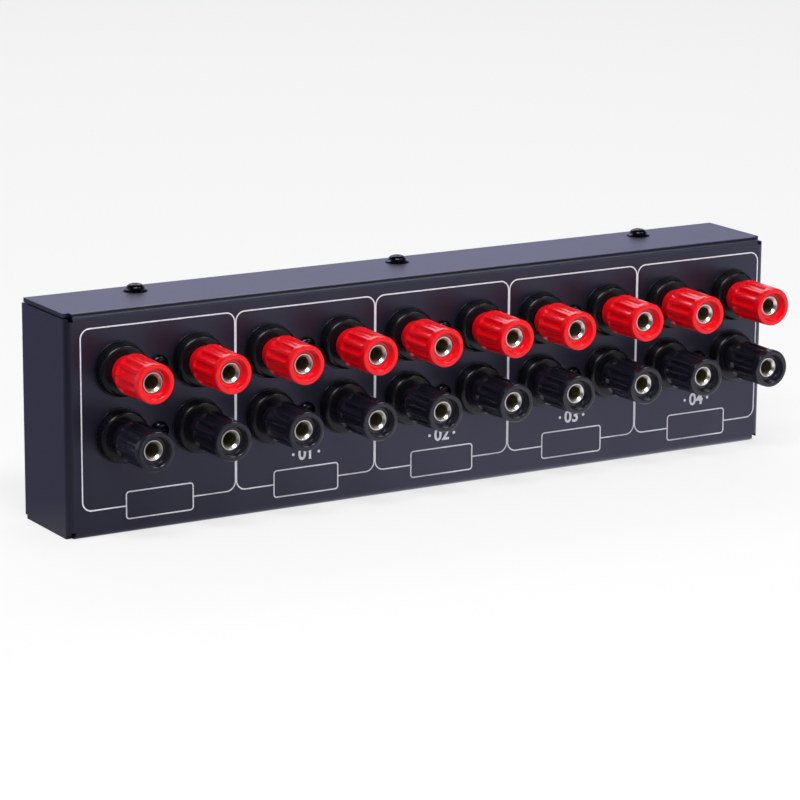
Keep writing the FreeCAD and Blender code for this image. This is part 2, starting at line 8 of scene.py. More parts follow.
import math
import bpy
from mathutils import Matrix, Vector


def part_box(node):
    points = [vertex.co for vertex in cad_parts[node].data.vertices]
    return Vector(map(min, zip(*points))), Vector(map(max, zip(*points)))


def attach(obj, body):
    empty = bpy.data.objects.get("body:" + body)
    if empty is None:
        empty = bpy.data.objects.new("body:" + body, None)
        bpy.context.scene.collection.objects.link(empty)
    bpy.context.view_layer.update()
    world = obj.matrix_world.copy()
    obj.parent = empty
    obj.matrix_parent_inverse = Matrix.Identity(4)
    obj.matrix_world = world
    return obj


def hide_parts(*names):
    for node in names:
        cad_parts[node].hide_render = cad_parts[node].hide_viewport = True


bl_info = {
    "name": "Speaker selector switch",
    "version": (1, 0, 0),
    "blender": (4, 5, 0),
    "location": "3D View > Sidebar > Selector",
    "description": "Builds the posts, screws, print, finishes and studio of a speaker selector switch",
    "category": "Object",
}

import bmesh
import bpy
from bpy.props import FloatProperty, FloatVectorProperty, PointerProperty
from mathutils import Matrix, Vector

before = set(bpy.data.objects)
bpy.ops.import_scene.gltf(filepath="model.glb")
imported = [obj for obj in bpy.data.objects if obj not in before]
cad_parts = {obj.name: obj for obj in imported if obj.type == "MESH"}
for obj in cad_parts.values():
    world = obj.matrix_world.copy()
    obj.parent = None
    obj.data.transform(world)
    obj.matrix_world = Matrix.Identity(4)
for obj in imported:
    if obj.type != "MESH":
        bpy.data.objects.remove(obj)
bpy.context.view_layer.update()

MM = 0.001
NEAR = 0.004 * MM
TURN = 2 * math.pi
UPRIGHT = math.radians(90)
SPARE = 1.0 * MM

# knobs: points round a knob, its flutes, and the turn from each knob to the next
KNOB_STEPS = 96
FLUTES = 12
STEPS_PER_FLUTE = KNOB_STEPS // FLUTES
KNOB_TURN = math.radians(37)
# screws: how far the cross recesses are turned
FIRST_LEAN = math.radians(184)
LEAN_STEP = math.radians(23)
# digits: height as a share of the font's size, and weight added as a share of that height
DIGIT_SHARE = 0.72
DIGIT_WEIGHT = 0.035
# studio: the camera's sensor in millimetres, and the floor's side in metres
SENSOR_WIDTH = 36
FLOOR_SIDE = 12
# soft boxes: name, place, height looked at and size, all in metres, then watts
SOFT_BOXES = [
    ("key_box", (-0.35, -0.65, 1.05), 0.03, (0.75, 0.25), 12),
    ("right_box", (0.75, -0.85, 1.15), 0.03, (0.5, 0.4), 4),
    ("low_box", (0.75, -1.15, 0.38), 0.03, (0.9, 0.35), 2.0),
    ("back_box", (0.4, 1.1, 1.0), 0.05, (1.0, 0.4), 4),
]


def middle_of(node):
    low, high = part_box(node)
    return (low + high) / 2


# places read from the frame
TERMINAL_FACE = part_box("housing")[0].y
CONTROL_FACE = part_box("control_panel")[1].y
TOP_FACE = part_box("housing")[1].z
POSTS = sorted(name.removeprefix("knob_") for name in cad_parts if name.startswith("knob_"))
GROUPS = sorted(name.removeprefix("terminal_plate_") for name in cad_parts
                if name.startswith("terminal_plate_"))
ZONES = [group for group in GROUPS if group.startswith("zone_")]
FIRST_POST = POSTS[0]
KNOB_BACK = TERMINAL_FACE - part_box("knob_" + FIRST_POST)[1].y
KNOB_FRONT = TERMINAL_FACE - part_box("knob_" + FIRST_POST)[0].y
STUD_FRONT = TERMINAL_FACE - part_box("terminal_studs")[0].y
STUD_BACK = TERMINAL_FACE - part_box("terminal_studs")[1].y
COLLAR_FRONT = TERMINAL_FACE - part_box("terminal_plate_input")[0].y
PLATE_BACK = TERMINAL_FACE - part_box("terminal_plate_input")[1].y
PLATE_SCREW_BACK = TERMINAL_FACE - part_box("plate_screws")[1].y
ROW_HEIGHTS = sorted({round(middle_of("knob_" + post).z, 6) for post in POSTS})
BLACK_ROW, RED_ROW = ROW_HEIGHTS


def length(description, millimetres):
    """A length that a user may change, stated in millimetres."""
    return FloatProperty(description=description, default=millimetres * MM, unit="LENGTH",
                         precision=5)


def colour(description, red, green, blue):
    """A colour that a user may change, as linear light."""
    return FloatVectorProperty(description=description, default=(red, green, blue),
                               subtype="COLOR", size=3, min=0, max=1)


def angle(description, degrees):
    return FloatProperty(description=description, default=math.radians(degrees), subtype="ANGLE")


def share(description, value):
    return FloatProperty(description=description, default=value, subtype="FACTOR", min=0, max=1)


def plain_number(description, value):
    return FloatProperty(description=description, default=value)


def named(group):
    """Name each property of a group after its identifier, in plain words."""
    for identifier, prop in group.__annotations__.items():
        prop.keywords["name"] = identifier.replace("_", " ").capitalize()
    return group


@named
class PostSizes(bpy.types.PropertyGroup):
    """Sizes of a binding post that the frame's boxes don't give."""

    neck_radius: length("Plain neck of the knob, behind its barrel", 4.7)
    barrel_back: length("Back of the barrel, forward of the terminal face", 8.2)
    barrel_radius: length("Barrel at its back", 6.0)
    rim_radius: length("Barrel at its front rim", 5.7)
    recess_radius: length("Mouth of the recess in front", 4.3)
    recess_floor: length("Recess at its floor, round the stud", 3.75)
    recess_depth: length("From the rim to the lip round the stud", 2.0)
    lip_radius: length("Hole of the lip that the stud passes", 3.15)
    pocket_radius: length("Room for the threaded insert", 3.893)
    lip_thickness: length("Lip in front of the insert", 0.8)
    barrel_round: length("Rounded edges at the barrel's two ends", 0.5)
    small_round: length("Rounded edges of the neck and the recess", 0.3)
    flute_depth: length("Depth of a flute at its middle", 0.6)
    flute_round: length("Radius of the round bottom of a flute", 1.5)
    flute_back: length("Where the flutes start, forward of the terminal face", 9.9)
    flute_front: length("Where the flutes end", 19.2)
    flute_run: length("Length over which a flute fades out", 0.8)
    sheet: length("Thickness of the sheet steel in front of the plate", 1.2)
    plate_corner: length("Cut corners of the plate", 2.0)
    bore_clearance: length("Room round the shanks in the plate", 0.05)
    collar_radius: length("Moulded collar round a post", 7.5)
    collar_root: length("How far a collar reaches into the plate", 2.0)
    flange_radius: length("Thin flange of a collar on the terminal face", 8.0)
    flange: length("Thickness of that flange", 0.3)
    collar_round: length("Rounded front edge of a collar", 1.1)
    stud_radius: length("Threaded front of the stud", 3.0)
    stud_round: length("Rounded front edge of the stud", 0.15)
    shoulder_round: length("Rounded edge on the collar", 0.2)
    shank_radius: length("Rear shank of the stud", 2.0)
    socket_radius: length("Banana socket in the stud", 2.0)
    mouth_radius: length("Chamfered mouth of that socket", 2.65)
    mouth_depth: length("Depth of that chamfer", 0.7)
    mouth_round: length("Rounded edge of that chamfer", 0.1)
    socket_depth: length("Depth of the banana socket", 13.0)
    wire_hole_radius: length("Cross hole for bare wire", 1.0)
    wire_hole_forward: length("Cross hole, forward of the terminal face", 5.6)
    thread_pitch: length("Pitch of the stud's thread", 1.0)
    thread_depth: length("Depth of the stud's thread", 0.25)


@named
class ScrewSizes(bpy.types.PropertyGroup):
    """Sizes of the two kinds of cross-recess screw."""

    plate_head_radius: length("Pan head between the posts", 2.7)
    plate_head_height: length("Height of that head", 1.7)
    cover_flange_radius: length("Flange under the domed head", 3.5)
    cover_flange: length("Thickness of that flange", 0.6)
    cover_dome_radius: length("Dome of the head", 2.7)
    cover_head_height: length("Height of the whole head", 2.0)
    shank_radius: length("Shank of both screws", 1.5)
    recess_arm: length("Half the span of the cross recess", 1.45)
    recess_width: length("Width of an arm of the cross", 0.62)
    recess_depth: length("Depth of the cross", 1.0)
    recess_narrowing: share("Size of the cross at its bottom", 0.55)
    head_side: length("Straight side of a head, under its dome", 0.5)
    flange_step: length("Slope from the flange up to the dome", 0.1)
    edge_round: length("Rounding of all edges", 0.06)


@named
class ButtonSizes(bpy.types.PropertyGroup):
    """Sizes of a zone button that the frame's boxes don't give."""

    cap_depth: length("Front of the cap to its back", 7.4)
    plunger_side: length("Side of the square plunger behind the cap", 4.0)
    back_border: length("Border of the cap's back, before the plunger", 1.1)
    dish_border: length("Border round the shallow dish in the cap", 1.2)
    dish_depth: length("Depth of that dish", 0.25)
    edge_round: length("Rounding of the cap's edges", 0.45)


@named
class PrintSizes(bpy.types.PropertyGroup):
    """Sizes of the white screen print."""

    ink: length("Thickness of the printed ink", 0.03)
    line: length("Width of the frames' lines", 0.38)
    frame_drop: length("Black row down to the frames' bottom edge", 20.75)
    frame_rise: length("Red row up to the frames' top edge", 12.45)
    frame_corner: length("Corner radius of the frames", 3.0)
    label_width: length("Width of the boxes in the bottom lines", 21.4)
    label_height: length("Height of those boxes", 8.2)
    label_drop: length("Black row down to the middle of those boxes", 20.45)
    label_corner: length("Corner radius of those boxes", 1.1)
    number_height: length("Height of the zone numbers", 3.7)
    number_drop: length("Black row down to the middle of the zone numbers", 12.45)
    dot_gap: length("Zone number's middle to the dot beside it", 4.2)
    dot_radius: length("Radius of those dots", 0.45)
    end_trim: length("How much narrower the last frame is than its zone", 0.8)
    control_height: length("Height of the numbers by the buttons", 4.0)
    control_rise: length("A button's middle up to its number", 9.0)


@named
class FinishColours(bpy.types.PropertyGroup):
    """Colours of the finishes."""

    paint: colour("Satin powder coat of the sheet steel", 0.0080, 0.0078, 0.0150)
    red: colour("Red knobs", 0.74, 0.0020, 0.0080)
    black: colour("Black knobs", 0.0080, 0.0080, 0.0140)
    collar: colour("Glossy moulded terminal plates", 0.0040, 0.0040, 0.0060)
    button: colour("Satin push buttons", 0.030, 0.030, 0.034)
    nickel: colour("Plated studs", 0.62, 0.60, 0.56)
    socket: colour("Unplated inside of the banana sockets", 0.62, 0.58, 0.40)
    brass: colour("Turned inserts", 0.78, 0.57, 0.22)
    screw: colour("Black zinc of the screws", 0.022, 0.022, 0.027)
    zinc: colour("Plated nuts", 0.60, 0.60, 0.62)
    ink: colour("White screen print", 0.74, 0.74, 0.82)
    case: colour("Cases of the push switches", 0.030, 0.030, 0.032)
    board: colour("Solder resist of the circuit board", 0.020, 0.160, 0.060)
    floor: colour("Pale studio floor", 0.86, 0.86, 0.88)


@named
class StudioSettings(bpy.types.PropertyGroup):
    """The camera of the photograph, and the studio's light."""

    camera_along: length("Camera's place along the box", -527.58)
    camera_across: length("Camera's place in front of the box", -876.39)
    camera_rise: length("Black row up to the camera's height", 239.64)
    yaw: angle("Camera's turn to the right of straight ahead", 30.898)
    pitch: angle("Camera's tilt down", 13.438)
    roll: angle("Camera's roll", 0.368)
    lens: plain_number("Focal length on a 36 mm sensor", 159.78)
    fill: share("Light that comes from all round", 0.30)
    backdrop: share("Brightness of the backdrop in reflections", 1.0)
    ceiling: share("Brightness of the ceiling in reflections", 0.05)
    front: share("Brightness of the room behind the camera in reflections", 0.16)
    floor_right: share("Reflected brightness of the floor in front, right", 1.0)
    floor_middle: share("The same in front of the input group", 0.3)
    floor_left: share("The same at the far left", 0.03)
    floor_back: share("The same behind the box", 0.26)
    floor_gain: plain_number("Factor on those four", 1.5)
    floor_seen: share("Share of plain white in the floor that the camera sees", 0.72)
    tint: colour("Tint of the surround in reflections", 0.66, 0.66, 1.0)
    floor_tint: colour("Tint of the floor in front in reflections", 0.94, 0.93, 1.0)


# modelling helpers

def pick_only(piece):
    bpy.ops.object.select_all(action="DESELECT")
    piece.select_set(True)
    bpy.context.view_layer.objects.active = piece


def primitive(name, add, stretch=(1, 1, 1), **settings):
    """Add one of Blender's primitives at its size and place, and name it."""
    bpy.ops.object.select_all(action="DESELECT")
    add(**settings)
    piece = bpy.context.active_object
    piece.name = piece.data.name = name
    piece.scale = stretch
    pick_only(piece)
    bpy.ops.object.transform_apply(location=True, rotation=True, scale=True)
    return piece


class Editing:
    """Edit mode on one piece, which starts with nothing selected."""

    def __init__(self, piece, mode="VERT"):
        self.piece = piece
        self.mode = mode

    def __enter__(self):
        pick_only(self.piece)
        bpy.ops.object.mode_set(mode="EDIT")
        bpy.ops.mesh.select_mode(type=self.mode)
        bpy.ops.mesh.select_all(action="DESELECT")
        return self

    def __exit__(self, *problem):
        bpy.ops.object.mode_set(mode="OBJECT")

    def pick_all(self):
        bpy.ops.mesh.select_all(action="SELECT")

    def pick(self, test):
        """Select the points, edges or faces whose middle passes a test, and nothing else."""
        bpy.ops.mesh.select_all(action="DESELECT")
        mesh = bmesh.from_edit_mesh(self.piece.data)
        if self.mode == "VERT":
            items = [(vertex, vertex.co) for vertex in mesh.verts]
        elif self.mode == "EDGE":
            items = [(edge, (edge.verts[0].co + edge.verts[1].co) / 2) for edge in mesh.edges]
        else:
            items = [(face, face.calc_center_median()) for face in mesh.faces]
        for item, spot in items:
            if test(spot):
                item.select_set(True)
        mesh.select_flush_mode()
        bmesh.update_edit_mesh(self.piece.data)


def apply(piece, modifier):
    pick_only(piece)
    bpy.ops.object.modifier_apply(modifier=modifier.name)


def join(name, pieces):
    """Join pieces into the first, which takes a new name."""
    bpy.ops.object.select_all(action="DESELECT")
    for piece in pieces:
        piece.select_set(True)
    bpy.context.view_layer.objects.active = pieces[0]
    bpy.ops.object.join()
    pieces[0].name = pieces[0].data.name = name
    return pieces[0]


def combine(piece, tool, operation):
    """Cut a tool out of a piece, or unite them. The tool is used up."""
    boolean = piece.modifiers.new("Combine", "BOOLEAN")
    boolean.operation = operation
    boolean.solver = "EXACT"
    boolean.object = tool
    apply(piece, boolean)
    bpy.data.objects.remove(tool)


def round_edges(piece, width, segments=2, sharper_than=35):
    """Round every edge that is sharper than an angle."""
    bevel = piece.modifiers.new("Rounding", "BEVEL")
    bevel.width = width
    bevel.segments = segments
    bevel.limit_method = "ANGLE"
    bevel.angle_limit = math.radians(sharper_than)
    apply(piece, bevel)


def smooth(piece, up_to=40):
    """Shade smooth across edges that are blunter than an angle."""
    pick_only(piece)
    bpy.ops.object.shade_smooth_by_angle(angle=math.radians(up_to))


def turned(name, outline, steps, closed=True):
    """Spin an outline of (forward, radius) points once round the post's axis."""
    piece = primitive(name, bpy.ops.mesh.primitive_plane_add, size=MM)
    points = [Vector((radius, -forward, 0)) for forward, radius in outline]
    if closed:
        points.append(points[0])
    with Editing(piece) as edit:
        edit.pick_all()
        bpy.ops.mesh.merge(type="CENTER")
        bpy.ops.transform.translate(value=points[0])
        for before, after in zip(points, points[1:]):
            bpy.ops.mesh.extrude_vertices_move(TRANSFORM_OT_translate={"value": after - before})
        edit.pick_all()
        bpy.ops.mesh.remove_doubles(threshold=NEAR)
        edit.pick_all()
        bpy.ops.mesh.spin(steps=steps, angle=TURN, center=(0, 0, 0), axis=(0, 1, 0))
        edit.pick_all()
        bpy.ops.mesh.remove_doubles(threshold=NEAR)
        edit.pick_all()
        bpy.ops.mesh.normals_make_consistent(inside=False)
    return piece


def round_ring(piece, forward, radius, width, segments=3):
    """Round the circular edge of a turned piece at a place of its outline."""

    def on_ring(spot):
        return abs(spot.y + forward) < NEAR and abs(math.hypot(spot.x, spot.z) - radius) < NEAR

    with Editing(piece) as edit:
        edit.pick(on_ring)
        bpy.ops.mesh.bevel(offset=width, segments=segments, affect="EDGES")


def copy_to(master, name, spot, turn=(0, 0, 0)):
    """A copy of a master piece with a mesh of its own, turned and moved to its place."""
    pick_only(master)
    bpy.ops.object.duplicate(linked=False)
    piece = bpy.context.active_object
    piece.name = piece.data.name = name
    piece.rotation_euler = turn
    piece.location = spot
    bpy.ops.object.transform_apply(location=True, rotation=True, scale=True)
    return piece


def block(name, low, high):
    """A box between two corners."""
    low, high = Vector(low), Vector(high)
    return primitive(name, bpy.ops.mesh.primitive_cube_add, size=1, location=(low + high) / 2,
                     stretch=high - low)


def rod(name, forward_start, forward_end, radius, sides, spot=(0, 0)):
    """A round bar along the post's axis, at (across, up) from it."""
    return primitive(name, bpy.ops.mesh.primitive_cylinder_add, vertices=sides, radius=radius,
                     depth=forward_end - forward_start, rotation=(UPRIGHT, 0, 0),
                     location=(spot[0], -(forward_start + forward_end) / 2, spot[1]))


def finish_piece(piece, body, finish, slot=None, stands_for=()):
    """Give a piece its material, the body it rides on, and the nodes that it stands for."""
    piece.data.materials.clear()
    piece.data.materials.append(finish)
    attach(piece, body)
    if stands_for:
        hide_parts(*stands_for)


def paint_node(node, finish):
    """Give a node of the frame a better material."""
    for material_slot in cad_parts[node].material_slots:
        material_slot.material = finish


def post_axis(post):
    """Where a post's axis meets the terminal face."""
    spot = middle_of("knob_" + post)
    return Vector((spot.x, TERMINAL_FACE, spot.z))


# finishes

class Wire:
    """A number that runs through a node tree; sums and products of it add Math nodes."""

    def __init__(self, tree, socket):
        self.tree = tree
        self.socket = socket

    def maths(self, operation, first, second):
        return self.tree.node("ShaderNodeMath", {"operation": operation}, {0: first, 1: second})

    def __add__(self, other):
        return self.maths("ADD", self, other)

    def __sub__(self, other):
        return self.maths("SUBTRACT", self, other)

    def __rsub__(self, other):
        return self.maths("SUBTRACT", other, self)

    def __mul__(self, other):
        return self.maths("MULTIPLY", self, other)

    def over(self, other):
        """1 where this is larger than a number, and 0 elsewhere."""
        return self.maths("GREATER_THAN", self, other)

    __radd__ = __add__


class NodeTree:
    """A node tree, with one method that makes every node."""

    def __init__(self, tree):
        self.tree = tree

    def node(self, kind, settings=None, inputs=None, output=0):
        made = self.tree.nodes.new(kind)
        for setting, value in (settings or {}).items():
            if setting == "stops":
                self.set_stops(made.color_ramp, value)
            else:
                setattr(made, setting, value)
        for socket, value in (inputs or {}).items():
            self.feed(made.inputs[socket], value)
        return Wire(self, made.outputs[output])

    def set_stops(self, ramp, stops):
        while len(ramp.elements) < len(stops):
            ramp.elements.new(1)
        for element, (position, grey) in zip(ramp.elements, stops):
            element.position = position
            element.color = (grey, grey, grey, 1)

    def ramp(self, number, stops):
        """A grey level that runs through (number, level) stops, for numbers from 0 to 1."""
        return self.node("ShaderNodeValToRGB", {"stops": stops}, {0: number})

    def centred_ramp(self, number, stops):
        """The same for numbers from -0.5 to 0.5."""
        return self.ramp(number + 0.5, [(place + 0.5, level) for place, level in stops])

    def feed(self, socket, value):
        if isinstance(value, Wire):
            self.tree.links.new(value.socket, socket)
        else:
            socket.default_value = value


class Finish(NodeTree):
    """One material: a tree with its shader, and patterns in the object's own coordinates."""

    def __init__(self, name, **shader_values):
        self.material = bpy.data.materials.new(name)
        self.material.use_nodes = True
        super().__init__(self.material.node_tree)
        self.shader = self.tree.nodes["Principled BSDF"]
        self.place = self.node("ShaderNodeTexCoord", output="Object")
        for socket, value in shader_values.items():
            self.set(socket.replace("_", " "), value)

    def set(self, socket, value):
        self.feed(self.shader.inputs[socket], value)

    def noise(self, scale, detail=2.0, where=None):
        return self.node("ShaderNodeTexNoise", {}, {"Vector": where or self.place, "Scale": scale,
                                                    "Detail": detail})

    def shades(self, tint, other, mask):
        """A colour that varies between two tints."""
        return self.node("ShaderNodeMix", {"data_type": "RGBA"},
                         {0: mask, 6: (*tint, 1), 7: (*other, 1)}, output=2)

    def grain(self, height, depth, strength):
        """Fine relief of the surface."""
        bump = self.node("ShaderNodeBump", {}, {"Strength": strength, "Distance": depth,
                                                "Height": height})
        self.set("Normal", bump)


def scaled(tint, factor):
    return tuple(min(1.0, channel * factor) for channel in tint)


def paint_finish(tint):
    """Satin powder coat: fine orange peel and faintly uneven gloss."""
    finish = Finish("satin_paint", Specular_IOR_Level=0.6, Specular_Tint=(0.72, 0.72, 1.0, 1))
    cloud = finish.noise(scale=28, detail=3.0)
    speck = finish.noise(scale=2600, detail=1.0)
    finish.set("Base Color", finish.shades(scaled(tint, 0.86), scaled(tint, 1.16), cloud))
    finish.set("Roughness", 0.30 + cloud * 0.05 + speck * 0.04)
    finish.grain(finish.noise(scale=1500), depth=0.02 * MM, strength=0.22)
    return finish.material


def plastic_finish(name, tint, roughness, specular=0.5):
    """Moulded plastic: a slightly uneven gloss and the faint texture of its mould."""
    finish = Finish(name, Specular_IOR_Level=specular)
    flow = finish.noise(scale=220, detail=3.0)
    finish.set("Base Color", finish.shades(scaled(tint, 0.93), scaled(tint, 1.07), flow))
    finish.set("Roughness", roughness - 0.03 + flow * 0.07)
    finish.grain(finish.noise(scale=2200), depth=0.01 * MM, strength=0.15)
    return finish.material


def metal_finish(name, tint, roughness):
    """Turned or plated metal with fine tool marks and a little tarnish."""
    finish = Finish(name, Metallic=1.0)
    tarnish = finish.noise(scale=160, detail=4.0)
    along = finish.node("ShaderNodeMapping", {}, {"Vector": finish.place,
                                                  "Scale": (0.15, 1.0, 0.15)})
    marks = finish.noise(scale=5200, detail=1.0, where=along)
    finish.set("Base Color", finish.shades(scaled(tint, 0.82), scaled(tint, 1.06), tarnish))
    finish.set("Roughness", roughness + tarnish * 0.08 + marks * 0.05)
    finish.grain(marks, depth=0.008 * MM, strength=0.25)
    return finish.material


def ink_finish(tint):
    """Screen-printed ink, a little thinner in places."""
    finish = Finish("white_print", Roughness=0.5)
    thin = finish.noise(scale=900, detail=3.0)
    finish.set("Base Color", finish.shades(scaled(tint, 0.84), scaled(tint, 1.08), thin))
    return finish.material


def board_finish(tint):
    """Solder resist over a faint pattern of tracks."""
    finish = Finish("board_resist")
    tracks = finish.noise(scale=70, detail=0.0).over(0.5)
    finish.set("Base Color", finish.shades(tint, scaled(tint, 1.5), tracks))
    finish.set("Roughness", 0.38 + finish.noise(scale=300) * 0.1)
    finish.grain(tracks, depth=0.03 * MM, strength=0.3)
    return finish.material


# binding posts

def make_knob_form(sizes):
    """A fluted knob on its post's axis, with a neck behind and a conical recess in front."""
    taper = (sizes.barrel_radius - sizes.rim_radius) / (KNOB_FRONT - sizes.barrel_back)

    def barrel_at(forward):
        return sizes.barrel_radius - taper * (forward - sizes.barrel_back)

    flute_ends = [sizes.flute_back, sizes.flute_front]
    levels = [sizes.flute_back - sizes.flute_run, *flute_ends, sizes.flute_front + sizes.flute_run]
    lip_front = KNOB_FRONT - sizes.recess_depth
    lip_back = lip_front - sizes.lip_thickness
    outline = [(KNOB_BACK, sizes.pocket_radius), (KNOB_BACK, sizes.neck_radius),
               (sizes.barrel_back, sizes.neck_radius), (sizes.barrel_back, sizes.barrel_radius)]
    outline += [(forward, barrel_at(forward)) for forward in levels]
    outline += [(KNOB_FRONT, sizes.rim_radius), (KNOB_FRONT, sizes.recess_radius),
                (lip_front, sizes.recess_floor), (lip_front, sizes.lip_radius),
                (lip_back, sizes.lip_radius), (lip_back, sizes.pocket_radius)]
    knob = turned("knob_form", outline, KNOB_STEPS)
    round_ring(knob, sizes.barrel_back, sizes.barrel_radius, sizes.barrel_round)
    round_ring(knob, KNOB_FRONT, sizes.rim_radius, sizes.barrel_round, segments=4)
    round_ring(knob, KNOB_FRONT, sizes.recess_radius, sizes.small_round)
    round_ring(knob, KNOB_BACK, sizes.neck_radius, sizes.small_round, segments=2)
    cut_flutes(knob, sizes, flute_ends, barrel_at)
    smooth(knob, up_to=20)
    return knob


def cut_flutes(knob, sizes, flute_ends, barrel_at):
    """Press the barrel in between its ribs: each point of a flute moves towards the axis."""
    radius = (barrel_at(flute_ends[0]) + barrel_at(flute_ends[1])) / 2
    floor = sizes.flute_round - sizes.flute_depth
    step_width = radius * TURN / KNOB_STEPS
    half_flute = math.sqrt(sizes.flute_round ** 2 - floor ** 2)
    reach = min(int(half_flute / step_width), STEPS_PER_FLUTE // 2 - 1)
    with Editing(knob) as edit:
        for offset in range(-reach, reach + 1):
            depth = math.sqrt(sizes.flute_round ** 2 - (step_width * offset) ** 2) - floor

            def in_flute(spot):
                step = round(math.atan2(spot.z, spot.x) / TURN * KNOB_STEPS)
                return (step - offset) % STEPS_PER_FLUTE == 0 and any(
                    abs(spot.y + end) < NEAR and math.hypot(spot.x, spot.z) > sizes.neck_radius
                    for end in flute_ends)

            edit.pick(in_flute)
            keep = 1 - depth / radius
            bpy.ops.transform.resize(value=(keep, 1, keep), center_override=(0, 0, 0))


def make_knobs(sizes, colours):
    """Every post's knob, turned by a different amount, as hands leave them."""
    form = make_knob_form(sizes)
    finishes = {
        "red": plastic_finish("red_knob_plastic", colours.red, roughness=0.17, specular=0.34),
        "black": plastic_finish("black_knob_plastic", colours.black, roughness=0.19, specular=0.36),
    }
    brass = metal_finish("turned_brass", colours.brass, roughness=0.28)
    for number, post in enumerate(POSTS):
        tint = "red" if "_red_" in post else "black"
        knob = copy_to(form, "fluted_knob_" + post, post_axis(post), (0, KNOB_TURN * number, 0))
        finish_piece(knob, "knob_" + post, finishes[tint], tint + "_plastic", ["knob_" + post])
        paint_node("insert_" + post, brass)
    bpy.data.objects.remove(form)


def make_studs(sizes, colours):
    """Every post's stud: a banana socket, a shoulder on the collar, a thread and a shank."""
    socket_end = STUD_FRONT - sizes.socket_depth
    thread_start = sizes.wire_hole_forward + 2 * sizes.wire_hole_radius
    turns = int((STUD_FRONT - 2 * sizes.thread_pitch - thread_start) / sizes.thread_pitch)
    outline = [(STUD_BACK, 0), (STUD_BACK, sizes.shank_radius), (COLLAR_FRONT, sizes.shank_radius),
               (COLLAR_FRONT, sizes.stud_radius)]
    for turn in range(turns):
        crest = thread_start + sizes.thread_pitch * turn
        outline += [(crest, sizes.stud_radius),
                    (crest + sizes.thread_pitch / 2, sizes.stud_radius - sizes.thread_depth)]
    outline += [(thread_start + sizes.thread_pitch * turns, sizes.stud_radius),
                (STUD_FRONT, sizes.stud_radius), (STUD_FRONT, sizes.mouth_radius),
                (STUD_FRONT - sizes.mouth_depth, sizes.socket_radius),
                (socket_end, sizes.socket_radius), (socket_end - sizes.socket_radius / 2, 0)]
    stud = turned("stud_form", outline, steps=48, closed=False)
    round_ring(stud, STUD_FRONT, sizes.stud_radius, sizes.stud_round)
    round_ring(stud, STUD_FRONT, sizes.mouth_radius, sizes.mouth_round)
    round_ring(stud, COLLAR_FRONT, sizes.stud_radius, sizes.shoulder_round, segments=2)
    drill = primitive("wire_drill", bpy.ops.mesh.primitive_cylinder_add, vertices=24,
                      radius=sizes.wire_hole_radius, depth=4 * sizes.stud_radius,
                      location=(0, -sizes.wire_hole_forward, 0))
    combine(stud, drill, "DIFFERENCE")
    smooth(stud)
    nickel = metal_finish("plated_nickel", colours.nickel, roughness=0.24)
    inside = metal_finish("socket_inside", colours.socket, roughness=0.42)
    for post in POSTS:
        piece = copy_to(stud, "stud_" + post, post_axis(post))
        finish_piece(piece, "housing", nickel, "nickel", ["terminal_studs"])
        piece.data.materials.append(inside)
        line_socket(piece, post_axis(post), sizes)
    bpy.data.objects.remove(stud)


def line_socket(stud, axis, sizes):
    """The faces of the socket's wall and bottom take the second material."""

    def inside(spot):
        forward = axis.y - spot.y
        return (math.hypot(spot.x - axis.x, spot.z - axis.z) < sizes.socket_radius + NEAR
                and STUD_FRONT - sizes.socket_depth - sizes.socket_radius < forward
                < STUD_FRONT - sizes.mouth_depth)

    with Editing(stud, "FACE") as edit:
        edit.pick(inside)
        stud.active_material_index = 1
        bpy.ops.object.material_slot_assign()


def make_terminal_plates(sizes, screws, colours):
    """Every group's moulded plate, whose four glossy collars stand through the terminal face."""
    group = GROUPS[0]
    low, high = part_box("terminal_plate_" + group)
    centre = middle_of("terminal_plate_" + group).x
    plate = block("plate_form", (low.x - centre, sizes.sheet, low.z),
                  (high.x - centre, -PLATE_BACK, high.z))
    with Editing(plate, "EDGE") as edit:
        edit.pick(lambda spot: abs(abs(spot.x) - (high.x - low.x) / 2) < NEAR
                  and min(abs(spot.z - low.z), abs(spot.z - high.z)) < NEAR)
        bpy.ops.mesh.bevel(offset=sizes.plate_corner, segments=1, affect="EDGES")
    spots = [post_axis(post) for post in POSTS if post.startswith(group + "_")]
    outline = [(-sizes.collar_root, 0), (-sizes.collar_root, sizes.collar_radius),
               (0, sizes.collar_radius), (0, sizes.flange_radius),
               (sizes.flange, sizes.flange_radius), (sizes.flange, sizes.collar_radius),
               (COLLAR_FRONT, sizes.collar_radius), (COLLAR_FRONT, 0)]
    collar = turned("collar_form", outline, steps=64, closed=False)
    round_ring(collar, COLLAR_FRONT, sizes.collar_radius, sizes.collar_round, segments=5)
    round_ring(collar, sizes.flange, sizes.flange_radius, sizes.flange / 2)
    collars = [copy_to(collar, "collar", (spot.x - centre, 0, spot.z)) for spot in spots]
    bpy.data.objects.remove(collar)
    combine(plate, join("collars", collars), "UNION")
    stud_bore = sizes.shank_radius + sizes.bore_clearance
    screw_bore = screws.shank_radius + sizes.bore_clearance
    bores = [rod("bore", PLATE_BACK - SPARE, COLLAR_FRONT + SPARE, stud_bore, 24,
                 (spot.x - centre, spot.z)) for spot in spots]
    bores += [rod("bore", PLATE_BACK - SPARE, COLLAR_FRONT, screw_bore, 24, (0, height))
              for height in ROW_HEIGHTS]
    combine(plate, join("bores", bores), "DIFFERENCE")
    smooth(plate)
    gloss = plastic_finish("collar_plastic", colours.collar, roughness=0.27, specular=0.26)
    for group in GROUPS:
        node = "terminal_plate_" + group
        piece = copy_to(plate, "moulded_plate_" + group, (middle_of(node).x, TERMINAL_FACE, 0))
        finish_piece(piece, "housing", gloss, "terminal_moulding", [node])
    bpy.data.objects.remove(plate)


# screws and buttons

